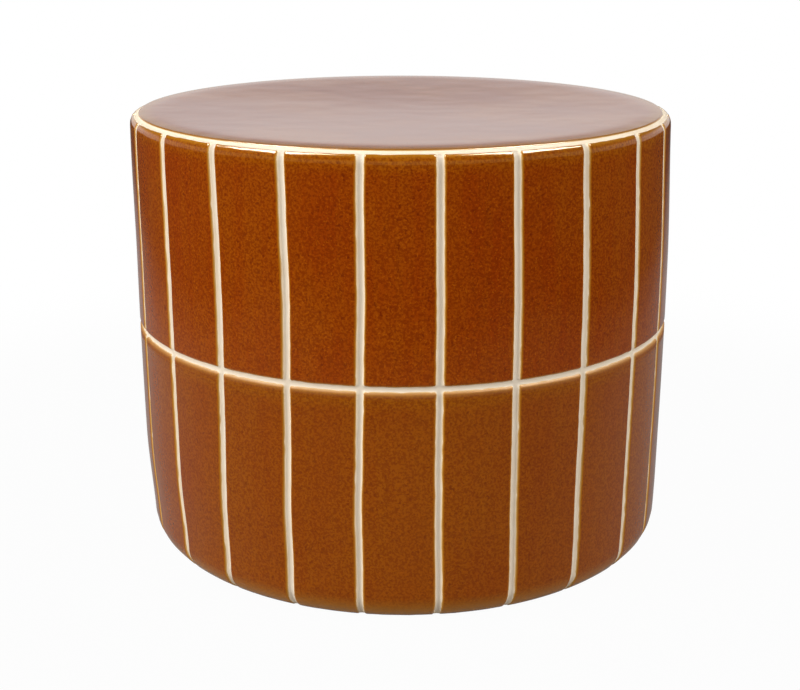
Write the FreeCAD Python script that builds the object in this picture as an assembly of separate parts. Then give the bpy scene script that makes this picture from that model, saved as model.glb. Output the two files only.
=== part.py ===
import FreeCAD, Part
import math
import os

# Glazed stoneware garden stool: a low drum with two rows of raised glazed panels and a dished seat
# Lengths are in millimetres, the origin is the centre of the foot on the floor, and +Z is up
# Rounds are drawn as a few cone bands, which keeps the many panels light

# Outer form, measured over the glaze
overall_height = 325.6
drum_radius = 200.0
foot_round = 27.0
foot_bands = 3
shoulder_round = 8.0

# Seat: a shallow dish with a flat floor, inside a crest that is the highest ring
crest_width = 12.0
crest_rise = 0.6
dish_depth = 4.0
dish_slope_width = 40.0

# Stoneware: a side wall turned in at the foot, with the seat slab luted on top of it
wall_thickness = 10.0
slab_thickness = 12.0
foot_ring_step = 2.0
foot_ring_width = 26.0

# Glazed panels, and the bare clay lines left between them
panels_per_row = 24
glaze_build = 1.6
edge_bevel = 1.2
upright_line = 5.0
belt_line = 4.6
belt_height = 170.3
rim_line = 5.0
foot_line = 9.0

UP = FreeCAD.Vector(0, 0, 1)
FOOT_MIDDLE = FreeCAD.Vector(0, 0, 0)
QUARTER_TURN = math.pi / 2
SAME_POINT = 1e-5


def at(radius, height):
    return FreeCAD.Vector(radius, 0, height)


# The circles that the foot and the shoulder follow, and where the panels' glaze stops on each
# The bare rim line takes the last of the shoulder, up to its top
foot_centre = at(drum_radius - foot_round, foot_round)
shoulder_centre = at(drum_radius - shoulder_round, overall_height - crest_rise - shoulder_round)
glaze_foot = foot_line / foot_round - QUARTER_TURN
panel_top = QUARTER_TURN - rim_line / shoulder_round

# Levels of the seat's floor and of the seam under the slab
dish_floor = overall_height - dish_depth
slab_seam = dish_floor - slab_thickness


def on_foot(depth, angle):
    radius = foot_round - depth
    return foot_centre + at(radius * math.cos(angle), radius * math.sin(angle))


def on_shoulder(depth, angle):
    radius = shoulder_round - depth
    return shoulder_centre + at(radius * math.cos(angle), radius * math.sin(angle))


def foot_points(depth):
    # Up the foot round, from where the glaze stops to the upright wall
    angles = [glaze_foot * (1 - step / foot_bands) for step in range(foot_bands + 1)]
    return [on_foot(depth, angle) for angle in angles]


def turned(points, angle=360.0):
    section = Part.Face(Part.makePolygon(points + points[:1]))
    return section.revolve(FOOT_MIDDLE, UP, angle)


def side_wall():
    # The foot ring and the foot round, the upright wall, and the open hollow inside it
    inside = glaze_build + wall_thickness
    ring_radius = foot_centre.x + foot_ring_step
    outer = [at(ring_radius, 0)] + foot_points(glaze_build) + [at(drum_radius - glaze_build, slab_seam)]
    inner = [at(drum_radius - inside, slab_seam), at(drum_radius - inside, inside)]
    opening = [at(ring_radius - foot_ring_width, inside), at(ring_radius - foot_ring_width, 0)]
    return turned(outer + inner + opening)


def seat_slab():
    # Bare clay over the shoulder, and from its top the glazed seat, bevelled at its edge
    rim = [at(drum_radius - glaze_build, slab_seam)]
    rim += [on_shoulder(glaze_build, angle) for angle in (0.0, panel_top, QUARTER_TURN)]
    glaze_edge = on_shoulder(0.0, QUARTER_TURN) - at(edge_bevel, 0)
    crest = at(shoulder_centre.x - crest_width, overall_height)
    floor_edge = at(crest.x - dish_slope_width, dish_floor)
    return turned(rim + [glaze_edge, crest, floor_edge, at(0, dish_floor), at(0, slab_seam)])


def side_edges(solid, outer):
    # The edges of the outer face that run up the two sides of a panel
    path = Part.makePolygon(outer)
    found = []
    for edge in solid.Edges:
        middle = edge.valueAt((edge.FirstParameter + edge.LastParameter) / 2)
        flat = at(math.hypot(middle.x, middle.y), middle.z)
        on_path = path.distToShape(Part.Vertex(flat))[0] < SAME_POINT
        if on_path and isinstance(edge.Curve, Part.Line):
            found.append(edge)
    return found


def panel(outer, inner):
    # One raised panel with its four edges bevelled down towards the clay, centred on the front
    pitch = 360.0 / panels_per_row
    width = pitch - math.degrees(upright_line / drum_radius)
    solid = turned(outer + inner[::-1], width)
    solid = solid.makeChamfer(edge_bevel, side_edges(solid, outer))
    solid.rotate(FOOT_MIDDLE, UP, -90.0 - width / 2)
    return solid


def upper_panel():
    # From the belt line up the wall and over the shoulder to the rim line
    low = belt_height + belt_line / 2
    clay_radius = drum_radius - glaze_build
    top = panel_top - edge_bevel / shoulder_round
    outer = [at(drum_radius, low + edge_bevel), on_shoulder(0.0, 0.0), on_shoulder(0.0, top)]
    inner = [at(clay_radius, low), on_shoulder(glaze_build, 0.0), on_shoulder(glaze_build, panel_top)]
    return panel(outer, inner)


def lower_panel():
    # From under the foot round up the wall to the belt line
    high = belt_height - belt_line / 2
    start = on_foot(0.0, glaze_foot + edge_bevel / foot_round)
    outer = [start] + foot_points(0.0)[1:] + [at(drum_radius, high - edge_bevel)]
    inner = foot_points(glaze_build) + [at(drum_radius - glaze_build, high)]
    return panel(outer, inner)


def row(name, first):
    # The same panel turned to each place round the drum, numbered from the front towards +X
    for number in range(panels_per_row):
        copy = first.copy()
        copy.rotate(FOOT_MIDDLE, UP, number * 360.0 / panels_per_row)
        save(f"{name}_{number + 1:02d}", copy)


def save(name, shape):
    shape.exportStep(f"parts/{name}.step")


os.makedirs("parts", exist_ok=True)
save("side_wall", side_wall())
save("seat_slab", seat_slab())
row("upper_panel", upper_panel())
row("lower_panel", lower_panel())
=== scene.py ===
import bmesh
import bpy
import math
import mathutils
import random
import numpy as np
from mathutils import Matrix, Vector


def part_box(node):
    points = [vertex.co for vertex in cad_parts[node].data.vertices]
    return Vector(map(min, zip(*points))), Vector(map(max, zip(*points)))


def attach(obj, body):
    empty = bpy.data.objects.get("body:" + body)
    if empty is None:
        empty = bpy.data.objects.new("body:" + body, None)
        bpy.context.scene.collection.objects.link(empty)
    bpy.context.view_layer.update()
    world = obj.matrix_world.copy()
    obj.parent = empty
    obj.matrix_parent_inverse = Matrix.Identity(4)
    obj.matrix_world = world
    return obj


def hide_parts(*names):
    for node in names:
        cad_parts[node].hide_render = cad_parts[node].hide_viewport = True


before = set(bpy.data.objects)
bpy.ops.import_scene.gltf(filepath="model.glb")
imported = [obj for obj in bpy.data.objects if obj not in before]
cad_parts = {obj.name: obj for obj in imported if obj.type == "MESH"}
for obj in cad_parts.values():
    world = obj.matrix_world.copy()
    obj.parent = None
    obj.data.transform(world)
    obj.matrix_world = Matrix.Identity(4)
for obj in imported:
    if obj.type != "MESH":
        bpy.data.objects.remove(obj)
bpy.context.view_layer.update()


# The drum: one shell of cream stoneware, built by hand, with its wall turned in at the foot.
# Its skin runs from the foot ring up the swelling wall, over the shoulder and across the seat,
# and lines are cut into it while the clay is soft. It is left bare inside and along the lines.
glaze_build = 0.0016
overall_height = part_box("seat_slab")[1][2]
drum_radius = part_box("side_wall")[1][0] + glaze_build
panels_round = sum(name.startswith("upper_panel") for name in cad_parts)
pitch_angle = 2 * math.pi / panels_round
pitch = pitch_angle * drum_radius

# The skin's sizes: the wall's swell and tuck, the two rounds, and the seat's fall and dish
foot_radius = drum_radius - 0.0025
shoulder_radius = drum_radius - 0.0020
belly = 0.0020
foot_tuck = 0.0016
foot_tuck_height = 0.085
foot_round = 0.022
shoulder_round = 0.008
seat_fall = 0.0006
seat_fall_start = 0.164
dish_radius = 0.180
dish_depth = 0.004


def soft_step(value, start, end):
    """Rises smoothly from 0 at start to 1 at end."""
    part = np.clip((np.asarray(value, float) - start) / (end - start), 0, 1)
    return part * part * (3 - 2 * part)


def wall_radius(height):
    """The wall's radius: swollen at half height, and drawn in a little towards the foot."""
    part = height / overall_height
    tuck = foot_tuck * soft_step(-np.asarray(height), -foot_tuck_height, 0)
    return foot_radius + (shoulder_radius - foot_radius) * part + belly * 4 * part * (1 - part) - tuck


def wall_lean(height):
    """The wall's slope at a height, outwards for each metre up."""
    return (wall_radius(height + 1e-4) - wall_radius(height - 1e-4)) / 2e-4


def round_points(centre, radius, start, end, count):
    """Points along an arc, from one angle to another."""
    angles = np.linspace(start, end, count)
    return [(centre[0] + radius * math.cos(a), centre[1] + radius * math.sin(a)) for a in angles]


foot_lean = math.atan(wall_lean(foot_round))
foot_joint = foot_round - foot_round * math.sin(foot_lean)
foot_centre = (wall_radius(foot_joint) - foot_round * math.cos(foot_lean), foot_round)
seat_edge_slope = math.atan(3 * seat_fall / (shoulder_radius - shoulder_round - seat_fall_start))
shoulder_height = overall_height - seat_fall - shoulder_round * math.cos(seat_edge_slope)
shoulder_lean = math.atan(wall_lean(shoulder_height))
shoulder_joint = shoulder_height - shoulder_round * math.sin(shoulder_lean)
shoulder_centre = (wall_radius(shoulder_joint) - shoulder_round * math.cos(shoulder_lean), shoulder_height)

# The skin as one line from the bottom of the foot to the middle of the seat
skin_line = round_points(foot_centre, foot_round, -math.pi / 2, -foot_lean, 60)
skin_line += [(wall_radius(z), z) for z in np.linspace(foot_joint, shoulder_joint, 400)[1:]]
wall_top = len(skin_line) - 1
shoulder_end = math.pi / 2 - seat_edge_slope
skin_line += round_points(shoulder_centre, shoulder_round, -shoulder_lean, shoulder_end, 50)[1:]
seat_edge = skin_line[-1][0]
for radius in np.linspace(seat_edge, 0, 240)[1:]:
    fall = seat_fall * max(0, (radius - seat_fall_start) / (seat_edge - seat_fall_start)) ** 3
    dish = dish_depth * max(0, 1 - (radius / dish_radius) ** 2) ** 1.3
    skin_line.append((radius, overall_height - fall - dish))
skin_line = np.array(skin_line)
skin_steps = np.hypot(*np.diff(skin_line, axis=0).T)
skin_run = np.concatenate([[0], np.cumsum(skin_steps)])
skin_slope = np.gradient(skin_line, skin_run, axis=0)


def on_skin(run, rise=0.0):
    """Radius and height at a distance up the skin, raised off it by rise."""
    radius = np.interp(run, skin_run, skin_line[:, 0])
    height = np.interp(run, skin_run, skin_line[:, 1])
    along_radius = np.interp(run, skin_run, skin_slope[:, 0])
    along_height = np.interp(run, skin_run, skin_slope[:, 1])
    size = np.hypot(along_radius, along_height)
    return radius + rise * along_height / size, height - rise * along_radius / size


# Where the lines lie along the skin, how wide they stay bare, and how deep they are cut
belt_height = 0.1703
rim_angle = math.radians(62)
foot_line = 0.009
belt_run = float(np.interp(belt_height, skin_line[:wall_top, 1], skin_run[:wall_top]))
shoulder_run = skin_run[wall_top]
rim_run = shoulder_run + shoulder_round * (rim_angle + shoulder_lean)
belt_bare = 0.0033
rim_bare = 0.0039
upright_bare = 0.0047
line_depth = 0.0018
rim_depth = 0.0008
line_floor = 0.0005
line_lip = 0.0035
rim_lip = 0.0030
foot_fade = (0.003, 0.024)
rim_fade = (rim_run - 0.002, rim_run + 0.001)
glaze_thickness = 0.00035
film_rise = 0.00045


def cut_depth(across, run):
    """How deep the clay is cut at a place: across from an upright line, run up the skin."""
    upright = 1 - soft_step(np.abs(across), line_floor, line_lip)
    upright = upright * (1 - soft_step(run, *rim_fade)) * soft_step(run, *foot_fade)
    belt = 1 - soft_step(np.abs(run - belt_run), line_floor, line_lip)
    rim = 1 - soft_step(np.abs(run - rim_run), line_floor, rim_lip)
    walls = 1 - (1 - upright) * (1 - belt)
    return np.maximum(line_depth * walls, rim_depth * rim)


def both_ways(distances):
    """The distances on both sides of 0, in order."""
    return [-d for d in reversed(distances) if d > 0] + list(distances)


def mesh_blank(name, points, faces, marks):
    """A flat blank in across, radius and height, with the marks that its tree and material read."""
    mesh = bpy.data.meshes.new(name)
    mesh.from_pydata([tuple(map(float, p)) for p in points], [], faces)
    for mark, values in marks.items():
        layer = mesh.attributes.new(mark, "FLOAT", "POINT")
        layer.data.foreach_set("value", np.asarray(values, dtype=np.float32).ravel())
    return bpy.data.objects.new(name, mesh)


def strip_faces(columns, rows):
    """Faces of a grid that is stored row by row."""
    return [(r * columns + c, r * columns + c + 1, (r + 1) * columns + c + 1, (r + 1) * columns + c)
            for r in range(rows - 1) for c in range(columns - 1)]


# The lines were cut by eye. Those in front lie this far (mm) from even spacing, towards +X,
# at the foot, the belt and the shoulder; line 0 is the first one left of the front panel.
seen_lines = {-4: (-4.0, -5.0, -4.0), -3: (-1.7, -1.7, -2.2), -2: (-3.4, 0.7, 0.3),
              -1: (-1.2, 2.0, 2.1), 0: (-3.1, -0.3, 1.9), 1: (-1.0, -0.6, 0.4),
              2: (-0.1, -0.5, -0.7), 3: (1.0, 1.5, 0.9), 4: (4.2, 5.5, 5.3), 5: (-0.3, 2.9, 4.4)}
# How much more golden each panel in front is made; panel 0 is the one at the front. Some differ in their
# own tone, and the panels near both sides are lightened as painted sheen
seen_gold_and_side_sheen = {-5: 0.35, -4: 0.28, -3: 0.08, -2: 0.08, -1: 0.04, 0: -0.02,
             1: 0.0, 2: 0.0, 3: 0.08, 4: 0.35, 5: 0.40}
unseen_drift = 1.8
unseen_gold = 0.05
hand = random.Random(11)


def counted_both_ways(number):
    """Counts from the front round both sides, so that the left half gets numbers below 0."""
    return number - panels_round if number > panels_round // 2 else number


lines = []
for number in range(panels_round):
    drift = [hand.uniform(-unseen_drift, unseen_drift) for place in range(3)]
    lines.append([0.001 * value for value in seen_lines.get(counted_both_ways(number), drift)])


def round_places(name, with_right):
    """One point for each turn round the drum, with the drift of the lines on its two sides."""
    marks = {"bearing": [], "tone": [], "left_line": [], "right_line": []}
    for side in ("left", "right"):
        for level in ("foot", "belt", "rim"):
            marks[f"{side}_{level}"] = []
    for number in range(panels_round):
        right = (number + 1) % panels_round if with_right else number
        marks["bearing"].append((number if with_right else number - 0.5) * pitch_angle)
        random_gold = hand.uniform(-unseen_gold, unseen_gold)
        # tone: the panel's own gold, with painted sheen that lightens the panels near both sides
        marks["tone"].append(seen_gold_and_side_sheen.get(counted_both_ways(number), random_gold))
        marks["left_line"].append(number)
        marks["right_line"].append(right)
        for level, left_drift, right_drift in zip(("foot", "belt", "rim"), lines[number], lines[right]):
            marks[f"left_{level}"].append(left_drift)
            marks[f"right_{level}"].append(right_drift)
    return mesh_blank(name, [(0, 0, 0)] * panels_round, [], marks)


def add_node(tree, kind, *feeds, out=0, **settings):
    """Adds a node, feeds its inputs in order, and gives back one of its outputs."""
    node = tree.nodes.new(kind)
    for key, value in settings.items():
        setattr(node, key, value)
    for socket, feed in zip(node.inputs, feeds):
        if isinstance(feed, bpy.types.NodeSocket):
            tree.links.new(feed, socket)
        elif feed is not None:
            socket.default_value = feed
    return node.outputs[out]


def add_maths(tree, operation, *feeds, clamp=False):
    return add_node(tree, "ShaderNodeMath", *feeds, operation=operation, use_clamp=clamp)


# The tree that lays a flat blank round the drum: once at every place, moved with the wandering
# lines beside it, and with the edge of its glaze crept in and out a little.
round_tree = bpy.data.node_groups.new("lay_round_the_drum", "GeometryNodeTree")
round_inputs = {"Blank": "Object", "Finish": "Material", "Drum radius": "Float", "Foot level": "Float",
                "Belt level": "Float", "Rim level": "Float", "Hand shake": "Float", "Glaze creep": "Float",
                "Top lean": "Float", "Foot lean": "Float", "Seed": "Float"}
round_tree.interface.new_socket("Places", in_out="INPUT", socket_type="NodeSocketGeometry")
for label, kind in round_inputs.items():
    round_tree.interface.new_socket(label, in_out="INPUT", socket_type="NodeSocket" + kind)
round_tree.interface.new_socket("Drum", in_out="OUTPUT", socket_type="NodeSocketGeometry")
entry = round_tree.nodes.new("NodeGroupInput")
given = {socket.name: socket for socket in entry.outputs}

# How fast the shake changes up a line and from line to line, and how fine the glaze's creep is
shake_scale = 28.0
line_apart = 5.37
creep_scale = 160.0


def mark(tree, name):
    """Reads one of the blank's or the places' marks."""
    return add_node(tree, "GeometryNodeInputNamedAttribute", name, data_type="FLOAT")


def noise_at(tree, x, y, z, scale=1.0, detail=1.0):
    """Smooth noise at a point, between about -0.5 and 0.5."""
    spot = add_node(tree, "ShaderNodeCombineXYZ", x, y, z)
    return add_maths(tree, "SUBTRACT", add_node(tree, "ShaderNodeTexNoise", spot, None, scale, detail), 0.5)


def line_drift(tree, side, height):
    """How far one line has drifted at a height: a curve through its three levels, and a shake."""
    low, mid, high = given["Foot level"], given["Belt level"], given["Rim level"]
    curve = None
    for level, here, others in (("foot", low, (mid, high)), ("belt", mid, (low, high)),
                                ("rim", high, (low, mid))):
        term = mark(tree, f"{side}_{level}")
        for other in others:
            gap = add_maths(tree, "SUBTRACT", height, other)
            whole = add_maths(tree, "SUBTRACT", here, other)
            term = add_maths(tree, "MULTIPLY", term, add_maths(tree, "DIVIDE", gap, whole))
        curve = term if curve is None else add_maths(tree, "ADD", curve, term)
    place = add_maths(tree, "MULTIPLY", mark(tree, f"{side}_line"), line_apart)
    shake = noise_at(tree, place, add_maths(tree, "MULTIPLY", height, shake_scale), given["Seed"])
    return add_maths(tree, "MULTIPLY_ADD", shake, given["Hand shake"], curve)


blank_source = add_node(round_tree, "GeometryNodeObjectInfo", given["Blank"])
blank_geometry = blank_source.node.outputs["Geometry"]
laid = add_node(round_tree, "GeometryNodeInstanceOnPoints", given["Places"], None, blank_geometry)
laid = add_node(round_tree, "GeometryNodeRealizeInstances", laid)
spot = round_tree.nodes.new("ShaderNodeSeparateXYZ")
round_tree.links.new(add_node(round_tree, "GeometryNodeInputPosition"), spot.inputs[0])
across, radius, height = spot.outputs
side = mark(round_tree, "side")
drift_left = line_drift(round_tree, "left", height)
drift_right = line_drift(round_tree, "right", height)
drift = add_maths(round_tree, "SUBTRACT", drift_right, drift_left)
drift = add_maths(round_tree, "MULTIPLY_ADD", drift, side, drift_left)
drift = add_maths(round_tree, "MULTIPLY", drift, mark(round_tree, "hold"))
bearing = mark(round_tree, "bearing")
around = add_maths(round_tree, "MULTIPLY_ADD", bearing, given["Drum radius"], across)
creep_across = noise_at(round_tree, around, height, given["Seed"], creep_scale, 2.0)
creep_across = add_maths(round_tree, "MULTIPLY", creep_across, mark(round_tree, "edge_across"))
creep_up = noise_at(round_tree, around, given["Seed"], height, creep_scale, 2.0)
creep_up = add_maths(round_tree, "MULTIPLY", creep_up, mark(round_tree, "edge_up"))
across = add_maths(round_tree, "ADD", across, drift)
across = add_maths(round_tree, "MULTIPLY_ADD", creep_across, given["Glaze creep"], across)
height = add_maths(round_tree, "MULTIPLY_ADD", creep_up, given["Glaze creep"], height)
turn = add_maths(round_tree, "ADD", bearing, add_maths(round_tree, "DIVIDE", across, given["Drum radius"]))
x_place = add_maths(round_tree, "MULTIPLY", radius, add_maths(round_tree, "SINE", turn))
y_place = add_maths(round_tree, "MULTIPLY", radius, add_maths(round_tree, "COSINE", turn))
y_place = add_maths(round_tree, "MULTIPLY", y_place, -1.0)
# The clay sagged a little out of round: its shoulder leans to one side, and its foot to the other
for lean, start, end in (("Top lean", 0.215, 0.318), ("Foot lean", 0.085, 0.020)):
    part = add_node(round_tree, "ShaderNodeMapRange", height, start, end, interpolation_type="SMOOTHSTEP")
    x_place = add_maths(round_tree, "MULTIPLY_ADD", part, given[lean], x_place)
new_spot = add_node(round_tree, "ShaderNodeCombineXYZ", x_place, y_place, height)
laid = add_node(round_tree, "GeometryNodeSetPosition", laid, None, new_spot)
laid = add_node(round_tree, "GeometryNodeMergeByDistance", laid, None, 1e-6)
laid = add_node(round_tree, "GeometryNodeSetShadeSmooth", laid)
laid = add_node(round_tree, "GeometryNodeSetMaterial", laid, None, given["Finish"])
round_tree.links.new(laid, round_tree.nodes.new("NodeGroupOutput").inputs[0])


def lay_round(name, blank, places, finish, creep=0.0):
    """Runs the tree on a blank, and gives back the whole ring as one plain mesh object."""
    for helper in (blank, places):
        bpy.context.scene.collection.objects.link(helper)
    values = {"Blank": blank, "Finish": finish, "Drum radius": drum_radius, "Foot level": 0.040,
              "Belt level": belt_height, "Rim level": 0.300, "Hand shake": 0.0012, "Glaze creep": creep,
              "Top lean": -0.0015, "Foot lean": 0.0014, "Seed": 3.0}
    laying = places.modifiers.new("laying", "NODES")
    laying.node_group = round_tree
    for socket in round_tree.interface.items_tree:
        if socket.name in values:
            laying[socket.identifier] = values[socket.name]
    bpy.context.view_layer.update()
    graph = bpy.context.evaluated_depsgraph_get()
    mesh = bpy.data.meshes.new_from_object(places.evaluated_get(graph))
    shape = bmesh.new()
    shape.from_mesh(mesh)
    bmesh.ops.dissolve_degenerate(shape, edges=shape.edges, dist=1e-7)
    bmesh.ops.recalc_face_normals(shape, faces=shape.faces)
    shape.to_mesh(mesh)
    shape.free()
    mesh.name = name
    piece = bpy.data.objects.new(name, mesh)
    bpy.context.scene.collection.objects.link(piece)
    for helper in (blank, places):
        bpy.data.objects.remove(helper)
    return piece


def colour(red, green, blue):
    """A colour as it is read off a screen, in 0 to 255, made linear."""
    def straight(level):
        level = level / 255
        return level / 12.92 if level <= 0.04045 else ((level + 0.055) / 1.055) ** 2.4
    return (straight(red), straight(green), straight(blue), 1.0)


def new_finish(name):
    """A new material, with its tree, its shader and the object's own coordinates."""
    finish = bpy.data.materials.new(name)
    finish.use_nodes = True
    tree = finish.node_tree
    shader = tree.nodes["Principled BSDF"]
    where = add_node(tree, "ShaderNodeTexCoord", out=3)
    return finish, tree, shader, where


def blend(tree, factor, first, second):
    """Mixes two colours."""
    node = tree.nodes.new("ShaderNodeMix")
    node.data_type = "RGBA"
    for socket, feed in ((node.inputs[0], factor), (node.inputs[6], first), (node.inputs[7], second)):
        if isinstance(feed, bpy.types.NodeSocket):
            tree.links.new(feed, socket)
        else:
            socket.default_value = feed
    return node.outputs[2]


def ramp(tree, value, start, end, low=0.0, high=1.0):
    """Maps a value smoothly from start..end to low..high."""
    return add_node(tree, "ShaderNodeMapRange", value, start, end, low, high,
                    interpolation_type="SMOOTHSTEP")


def grain(tree, where, scale, detail=2.0, roughness=0.5):
    """Noise of a scale, between 0 and 1."""
    return add_node(tree, "ShaderNodeTexNoise", where, None, scale, detail, roughness)


def drawn(tree, name):
    """Reads one of the mesh's marks in a material."""
    return add_node(tree, "ShaderNodeAttribute", attribute_name=name, out=2)


# Bare clay: matt cream with fine sandy grain, and painted shade that greys the floor of each line
stoneware, tree, shader, where = new_finish("bare_stoneware")
mottle = ramp(tree, grain(tree, where, 60.0, 3.0), 0.35, 0.65)
body = blend(tree, mottle, colour(242, 220, 188), colour(247, 229, 201))
sand = ramp(tree, grain(tree, where, 900.0, 2.0), 0.62, 0.72)
body = blend(tree, add_maths(tree, "MULTIPLY", sand, 0.25), body, colour(196, 170, 132))
# Painted shade: the floor of each cut line is greyed as if shadowed by its lips
groove_painted_shade = add_maths(tree, "MULTIPLY", drawn(tree, "groove"), 0.6)
body = blend(tree, groove_painted_shade, body, colour(214, 202, 186))
tree.links.new(body, shader.inputs["Base Color"])
shader.inputs["Roughness"].default_value = 0.72
shader.inputs["Specular IOR Level"].default_value = 0.3
grit = add_node(tree, "ShaderNodeBump", 0.25, 0.0003, None, grain(tree, where, 1400.0, 2.0))
tree.links.new(grit, shader.inputs["Normal"])

# One pitch of the clay, with an upright line down its middle: the skin, then back through the inside
wall_thickness = 0.010
flange_edge = 0.149
foot_ring_middle = 0.162
seam_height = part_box("side_wall")[1][2]
inner_radius = drum_radius - glaze_build - wall_thickness
flange_top = glaze_build + wall_thickness
line_offsets = [0, 0.0007, 0.0013, 0.0018, 0.0023, 0.0028, 0.0034, 0.0042, 0.0055, 0.009, 0.016, pitch / 2]
clay_columns = both_ways(line_offsets)
near_line = [0.0006, 0.0012, 0.0018, 0.0024, 0.0030, 0.0038, 0.005]
clay_runs = set(np.linspace(0, foot_round * math.pi / 2, 14))
clay_runs |= set(np.linspace(foot_round * math.pi / 2, shoulder_run, 46))
clay_runs |= {line + gap for line in (belt_run, rim_run) for gap in both_ways([0] + near_line)}
clay_runs |= set(np.linspace(shoulder_run, rim_run + 0.012, 12))
clay_runs |= set(np.linspace(rim_run + 0.02, skin_run[-1], 9))
clay_runs = sorted(clay_runs)
corner, edge_top, edge_foot = 0.004, 0.002, 0.0015
inside_line = [(0, seam_height), (inner_radius / 2, seam_height), (inner_radius - corner, seam_height),
               (inner_radius, seam_height - corner)]
inside_line += [(inner_radius, z) for z in np.linspace(seam_height - 0.05, flange_top + corner, 6)]
inside_line += [(inner_radius - corner, flange_top), (flange_edge + edge_top, flange_top),
                (flange_edge, flange_top - edge_top), (flange_edge, edge_foot),
                (flange_edge + edge_foot, 0), (foot_ring_middle, 0)]
clay_points, groove_mark, hold_mark = [], [], []
for point in inside_line:
    clay_points += [(across, *point) for across in clay_columns]
    groove_mark += [0.0] * len(clay_columns)
    hold_mark += [0.0] * len(clay_columns)
for run in clay_runs:
    for across in clay_columns:
        depth = float(cut_depth(across, run))
        land = glaze_thickness * float(soft_step(run, foot_line * 0.4, foot_line))
        clay_points.append((across, *on_skin(run, -land - depth)))
        # groove: how far down the cut the clay lies here, which the material greys as painted shade
        groove_mark.append(float(soft_step(depth / line_depth, 0.35, 0.95)))
        hold_mark.append(1 - float(soft_step(abs(across), 0.008, pitch / 2)))
clay_rows = len(inside_line) + len(clay_runs)
clay_blank = mesh_blank("clay_blank", clay_points, strip_faces(len(clay_columns), clay_rows),
                        {"groove": groove_mark, "hold": hold_mark})
stoneware_drum = lay_round("stoneware_drum", clay_blank, round_places("line_places", False), stoneware)
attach(stoneware_drum, "root")
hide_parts("side_wall")


# The glazed panels: fields of clay between the lines, under a glossy amber glaze that is thin and
# golden where it ends, and breaks from red-brown to gold over the field.
# Each is its own closed sheet of glaze, which stops short of the line and rounds down to the clay.
panel_glaze, tree, shader, where = new_finish("panel_glaze")
inset = drawn(tree, "inset")
below = drawn(tree, "below")
tone = drawn(tree, "tone")
height_here = add_node(tree, "ShaderNodeSeparateXYZ", where, out=2)
belt_top, belt_low = belt_height + 0.002, belt_height - 0.002
# How golden the glaze is: clouds, vertical runs, each panel's own tone with painted sheen on the panels
# near both sides, and more below a top edge
cloudy = add_node(tree, "ShaderNodeMapping", where, None, None, (1.0, 1.0, 0.45))
cloud = ramp(tree, grain(tree, cloudy, 18.0, 3.0, 0.55), 0.30, 0.70, -0.16, 0.16)
running = add_node(tree, "ShaderNodeMapping", where, None, None, (1.0, 1.0, 0.08))
runs = ramp(tree, grain(tree, running, 150.0, 2.0), 0.35, 0.65, -0.07, 0.07)
gold = ramp(tree, height_here, belt_top, belt_low, 0.20, 0.54)
gold = add_maths(tree, "ADD", gold, cloud)
gold = add_maths(tree, "ADD", gold, runs)
# tone also carries painted sheen, which lightens the panels near both sides
gold = add_maths(tree, "ADD", gold, tone)
gold = add_maths(tree, "ADD", gold, ramp(tree, below, 16.0, 1.0, 0.0, 0.75), clamp=True)
body = blend(tree, gold, colour(142, 53, 3), colour(160, 88, 6))
# Fine mottling: dark freckles, larger red-brown specks and small golden glints
freckle = ramp(tree, grain(tree, where, 620.0, 2.0, 0.6), 0.40, 0.60)
body = blend(tree, add_maths(tree, "MULTIPLY", freckle, 0.62), body, colour(112, 34, 1))
speck = ramp(tree, grain(tree, where, 380.0, 1.0), 0.64, 0.72)
body = blend(tree, add_maths(tree, "MULTIPLY", speck, 0.5), body, colour(92, 22, 4))
moved = add_node(tree, "ShaderNodeMapping", where, (3.0, 1.0, 2.0))
glint = ramp(tree, grain(tree, moved, 700.0, 1.0), 0.60, 0.74)
body = blend(tree, add_maths(tree, "MULTIPLY", glint, 0.45), body, colour(178, 90, 8))
# The lower row is deeper in colour, with a golden roll at the foot, and all edges are thin and pale
body = blend(tree, ramp(tree, height_here, belt_top, belt_low, 0.0, 0.3), body, colour(112, 44, 2))
body = blend(tree, ramp(tree, height_here, 0.022, 0.004, 0.0, 0.65), body, colour(186, 126, 32))
thin = ramp(tree, inset, 2.0, 0.3)
thin = add_maths(tree, "MAXIMUM", thin, ramp(tree, below, 4.0, 0.4))
body = blend(tree, add_maths(tree, "MULTIPLY", thin, 0.7), body, colour(186, 124, 26))
body = blend(tree, ramp(tree, inset, 0.75, 0.05, 0.0, 0.85), body, colour(222, 184, 118))
tree.links.new(body, shader.inputs["Base Color"])
# Its shine is duller on the edge under the belt, and whiter along every top edge
duller = ramp(tree, below, 8.0, 3.0, 0.0, 0.45)
duller = add_maths(tree, "MULTIPLY", duller, ramp(tree, height_here, belt_top, belt_height - 0.001))
tree.links.new(add_maths(tree, "ADD", duller, 0.10), shader.inputs["Roughness"])
shader.inputs["IOR"].default_value = 1.5
tint = blend(tree, ramp(tree, below, 4.5, 2.5), (1.0, 0.7, 0.22, 1.0), (1.0, 0.9, 0.72, 1.0))
tree.links.new(tint, shader.inputs["Specular Tint"])
ripple = add_node(tree, "ShaderNodeBump", 0.35, 0.0008, None, grain(tree, where, 45.0, 2.0))
orange_peel = add_node(tree, "ShaderNodeBump", 0.10, 0.0002, None, grain(tree, where, 500.0, 1.0), ripple)
tree.links.new(orange_peel, shader.inputs["Normal"])

edge_steps = [0, 0.0002, 0.00045, 0.00075, 0.0011, 0.0016, 0.0023, 0.0033, 0.005, 0.0075]
corner_round = 0.0016
creep_reach = 0.004
glaze_skirt = 0.0004


def sheet_lines(length, spacing):
    """Distances across a sheet of glaze: close at both ends, evenly spaced between."""
    count = max(2, round((length - 2 * edge_steps[-1]) / spacing) + 1)
    middle = list(np.linspace(edge_steps[-1], length - edge_steps[-1], count))[1:-1]
    return edge_steps + middle + [length - step for step in reversed(edge_steps)]


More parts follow.
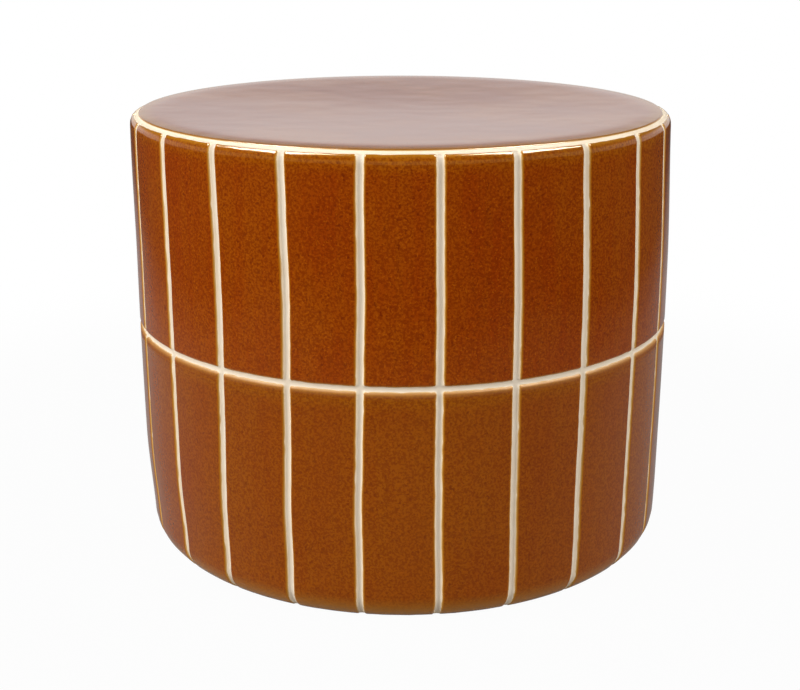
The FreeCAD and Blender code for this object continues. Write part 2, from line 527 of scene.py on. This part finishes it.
def panel_blank(name, low_run, high_run, bare):
    """One panel's sheet of glaze: its face, a skirt sunk into the clay, and a plain back."""
    width = pitch - bare
    columns = sheet_lines(width, spacing=0.0045)
    rows = sheet_lines(high_run - low_run, spacing=0.0055)
    columns = [columns[0]] + columns + [columns[-1]]
    rows = [rows[0]] + rows + [rows[-1]]
    points = []
    marks = {key: [] for key in ("side", "hold", "inset", "below", "edge_across", "edge_up")}
    for row, up in enumerate(rows):
        for column, along in enumerate(columns):
            from_side, from_end = min(along, width - along), min(up, rows[-1] - up)
            inward_across, inward_up = from_side, from_end
            inset_here = min(from_side, from_end)
            if from_side < corner_round and from_end < corner_round:
                p, q = 1 - from_side / corner_round, 1 - from_end / corner_round
                p, q = p * math.sqrt(1 - q * q / 2), q * math.sqrt(1 - p * p / 2)
                inward_across, inward_up = corner_round * (1 - p), corner_round * (1 - q)
                inset_here = corner_round * (1 - math.hypot(p, q))
            across = (inward_across if along < width / 2 else width - inward_across) - width / 2
            climb = inward_up if up < rows[-1] / 2 else rows[-1] - inward_up
            run = low_run + climb
            film = glaze_thickness * (1 - math.exp(-inset_here / film_rise))
            rim = row in (0, len(rows) - 1) or column in (0, len(columns) - 1)
            lift = film - glaze_thickness - float(cut_depth(pitch / 2 - abs(across), run))
            points.append((across, *on_skin(run, lift - (glaze_skirt if rim else 0))))
            marks["side"].append(across / width + 0.5)
            marks["hold"].append(1.0)
            marks["inset"].append(1000 * inset_here)
            marks["below"].append(1000 * (high_run - low_run - climb))
            marks["edge_across"].append(math.copysign(max(0, 1 - from_side / creep_reach), across))
            up_reach = max(0, 1 - from_end / creep_reach)
            marks["edge_up"].append(math.copysign(up_reach, climb - rows[-1] / 2))
    faces = strip_faces(len(columns), len(rows))
    last = len(columns) - 1
    starts = [row * len(columns) for row in range(len(rows))]
    faces += [(a, b, b + last, a + last) for a, b in zip(starts, starts[1:])]
    faces += [tuple(range(last, -1, -1)), tuple(range(starts[-1], starts[-1] + last + 1))]
    return mesh_blank(name, points, faces, marks)


for row_name, low_run, high_run, bare in (
        ("upper", belt_run + belt_bare / 2, rim_run - rim_bare / 2, upright_bare + 0.0002),
        ("lower", foot_line, belt_run - belt_bare / 2, upright_bare - 0.0003)):
    blank = panel_blank(f"{row_name}_blank", low_run, high_run, bare)
    places = round_places(f"{row_name}_places", True)
    panels = lay_round(f"{row_name}_glazed_panels", blank, places, panel_glaze, creep=0.0010)
    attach(panels, "root")
    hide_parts(*[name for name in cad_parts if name.startswith(f"{row_name}_panel")])


# The seat: a slab luted on the wall, dished by hand, under the same glaze as the panels but laid
# on more thickly, so it mirrors the room. Its edge rounds down to the bare line on the shoulder.
seat_glaze, tree, shader, where = new_finish("seat_glaze")
inset = drawn(tree, "inset")
cloud = ramp(tree, grain(tree, where, 11.0, 3.0), 0.35, 0.65)
body = blend(tree, cloud, colour(162, 87, 15), colour(147, 67, 8))
freckle = ramp(tree, grain(tree, where, 620.0, 2.0, 0.6), 0.38, 0.62)
body = blend(tree, add_maths(tree, "MULTIPLY", freckle, 0.4), body, colour(120, 44, 3))
body = blend(tree, ramp(tree, inset, 14.0, 0.5, 0.0, 0.8), body, colour(164, 108, 26))
body = blend(tree, ramp(tree, inset, 0.6, 0.05, 0.0, 0.8), body, colour(222, 184, 118))
tree.links.new(body, shader.inputs["Base Color"])
shader.inputs["Roughness"].default_value = 0.17
shader.inputs["IOR"].default_value = 1.5
shader.inputs["Specular Tint"].default_value = (1.0, 0.95, 0.9, 1.0)
ripple = add_node(tree, "ShaderNodeBump", 0.5, 0.0010, None, grain(tree, where, 14.0, 2.0))
ripple = add_node(tree, "ShaderNodeBump", 0.15, 0.0004, None, grain(tree, where, 60.0, 2.0), ripple)
tree.links.new(ripple, shader.inputs["Normal"])

seat_start = rim_run + rim_bare / 2
seat_runs = [seat_start + step for step in edge_steps]
seat_runs += list(np.arange(seat_start + 0.009, seat_start + 0.024, 0.0015))
seat_runs += list(np.linspace(seat_start + 0.026, skin_run[-1], 44))
seat_columns = list(np.linspace(-pitch / 2, pitch / 2, 9))
seat_points, inset_mark = [], []
for place, run in enumerate([seat_start] + seat_runs):
    inset_here = run - seat_start
    film = glaze_thickness * (1 - math.exp(-inset_here / film_rise))
    lift = film - glaze_thickness - float(cut_depth(pitch / 2, run))
    point = on_skin(run, lift - (glaze_skirt if place == 0 else 0))
    seat_points += [(across, *point) for across in seat_columns]
    inset_mark += [1000 * inset_here] * len(seat_columns)
# The plain back of the seat's glaze lies in the clay: flat under the dish, and higher at the edge
back_height = overall_height - dish_depth - 0.003
seat_back = [(0.0, back_height), (0.160, back_height), (0.185, overall_height - 0.004)]
well_inside = 9.0
for point in seat_back:
    seat_points += [(across, *point) for across in seat_columns]
    inset_mark += [well_inside] * len(seat_columns)
seat_rows = len(seat_points) // len(seat_columns)
seat_faces = strip_faces(len(seat_columns), seat_rows)
bottom = (seat_rows - 1) * len(seat_columns)
seat_faces += [(bottom + c, bottom + c + 1, c + 1, c) for c in range(len(seat_columns) - 1)]
seat_blank = mesh_blank("seat_blank", seat_points, seat_faces, {"inset": inset_mark})
glazed_seat = lay_round("glazed_seat", seat_blank, round_places("seat_places", False), seat_glaze)
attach(glazed_seat, "root")
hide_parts("seat_slab")


# The studio: the stool stands on a strip of pale paper that runs back under it, with dark floor at
# its sides and in front. The camera sees it all as white, while the glaze mirrors the strip faintly
# and the room above it brightly. Lamps: a faint one overhead, a broad one at each side in front, with
# the left one stronger, and two high boxes that show only as reflections along the shoulder.
floor_size = 6.0
floor_mesh = bpy.data.meshes.new("studio_floor")
floor_mesh.from_pydata([(-floor_size, -floor_size, 0), (floor_size, -floor_size, 0),
                        (floor_size, floor_size, 0), (-floor_size, floor_size, 0)], [], [(0, 1, 2, 3)])
studio_floor = bpy.data.objects.new("studio_floor", floor_mesh)
bpy.context.scene.collection.objects.link(studio_floor)


def is_mirrored(tree, ray):
    """1 for what is seen in the glaze or through glass, and 0 for the rest."""
    glossy, clear = ray.outputs["Is Glossy Ray"], ray.outputs["Is Transmission Ray"]
    return add_maths(tree, "ADD", glossy, clear, clamp=True)


floor_finish, tree, shader, where = new_finish("studio_floor")
spot = tree.nodes.new("ShaderNodeSeparateXYZ")
tree.links.new(where, spot.inputs[0])
paper = ramp(tree, add_maths(tree, "ABSOLUTE", spot.outputs[0]), 1.05, 0.45)
paper = add_maths(tree, "MULTIPLY", paper, ramp(tree, spot.outputs[1], -1.0, -0.45))
grey = blend(tree, paper, (0.05, 0.05, 0.05, 1), (0.30, 0.30, 0.30, 1))
tree.links.new(grey, shader.inputs["Base Color"])
shader.inputs["Roughness"].default_value = 0.9
shader.inputs["Specular IOR Level"].default_value = 0.0
glow = add_node(tree, "ShaderNodeEmission", (1, 1, 1, 1), 1.0)
ray = tree.nodes.new("ShaderNodeLightPath")
mirrored = is_mirrored(tree, ray)
mirrored = add_maths(tree, "MULTIPLY", mirrored, add_maths(tree, "MULTIPLY", paper, 0.10))
near = ramp(tree, add_node(tree, "ShaderNodeVectorMath", where, operation="LENGTH", out=1), 0.9, 0.4)
white = add_maths(tree, "MULTIPLY", ray.outputs["Is Camera Ray"], ramp(tree, near, 0.0, 1.0, 1.0, 0.97))
white = add_maths(tree, "MAXIMUM", white, mirrored)
mixed = add_node(tree, "ShaderNodeMixShader", white, shader.outputs[0], glow)
# Seen from below the floor is clear, so that the foot and the hollow can be looked at
from_below = add_node(tree, "ShaderNodeNewGeometry", out=6)
clear = add_node(tree, "ShaderNodeBsdfTransparent")
mixed = add_node(tree, "ShaderNodeMixShader", from_below, mixed, clear)
tree.links.new(mixed, tree.nodes["Material Output"].inputs[0])
floor_mesh.materials.append(floor_finish)

world = bpy.data.worlds.new("studio")
bpy.context.scene.world = world
world.use_nodes = True
tree = world.node_tree
ray = tree.nodes.new("ShaderNodeLightPath")
upwards = add_node(tree, "ShaderNodeSeparateXYZ", add_node(tree, "ShaderNodeTexCoord"), out=2)
# In the glaze the room is bright low down, most of all just above the horizon, and dark overhead
mirrored = is_mirrored(tree, ray)
off_band = add_maths(tree, "ABSOLUTE", add_maths(tree, "SUBTRACT", upwards, 0.12))
room = ramp(tree, upwards, 0.15, 0.34, 0.84, 0.05)
room = add_maths(tree, "ADD", room, ramp(tree, off_band, 0.06, 0.0, 0.0, 0.24))
strength = add_maths(tree, "MULTIPLY", mirrored, room)
strength = add_maths(tree, "MAXIMUM", ray.outputs["Is Camera Ray"], strength)
ambient = ramp(tree, upwards, 0.2, 0.95, 0.88, 0.42)
ambient = add_maths(tree, "MULTIPLY", ray.outputs["Is Diffuse Ray"], ambient)
strength = add_maths(tree, "MAXIMUM", strength, ambient)
tree.links.new(strength, tree.nodes["Background"].inputs["Strength"])
tree.nodes["Background"].inputs["Color"].default_value = (1, 1, 1, 1)


def soft_box(name, place, aim, width, depth, power):
    """A rectangular soft light at a place, turned towards the point it is aimed at."""
    light = bpy.data.lights.new(name, "AREA")
    light.shape = "RECTANGLE"
    light.size, light.size_y, light.energy = width, depth, power
    box = bpy.data.objects.new(name, light)
    bpy.context.scene.collection.objects.link(box)
    box.location = place
    box.rotation_euler = (mathutils.Vector(aim) - box.location).to_track_quat("-Z", "Y").to_euler()
    box.visible_camera = False
    return box


for name, place, power in (("overhead", (0, -0.2, 2.3), 1.0), ("front_left", (-2.4, -1.45, 1.4), 65.0),
                           ("front_right", (2.4, -1.45, 1.4), 33.0)):
    soft_box(name, place, (0, 0, 0.15), 1.6, 1.4, power).visible_glossy = False
for name, side in (("shine_left", -1), ("shine_right", 1)):
    soft_box(name, (0.90 * side, -0.32, 1.57), (0, 0, 0.3), 0.9, 0.8, 80.0).visible_diffuse = False

# The camera stands where the photograph was taken from, a little above the seat
camera = bpy.data.cameras.new("view")
camera.sensor_fit = "HORIZONTAL"
camera.sensor_width = 36.0
camera.lens = 66.49
viewer = bpy.data.objects.new("view", camera)
bpy.context.scene.collection.objects.link(viewer)
viewer.location = (0.00695, -1.1, 0.4781)
viewer.rotation_euler = (math.radians(90 - 17.10), 0.0, 0.008)
bpy.context.scene.camera = viewer
bpy.context.scene.view_settings.view_transform = "Standard"
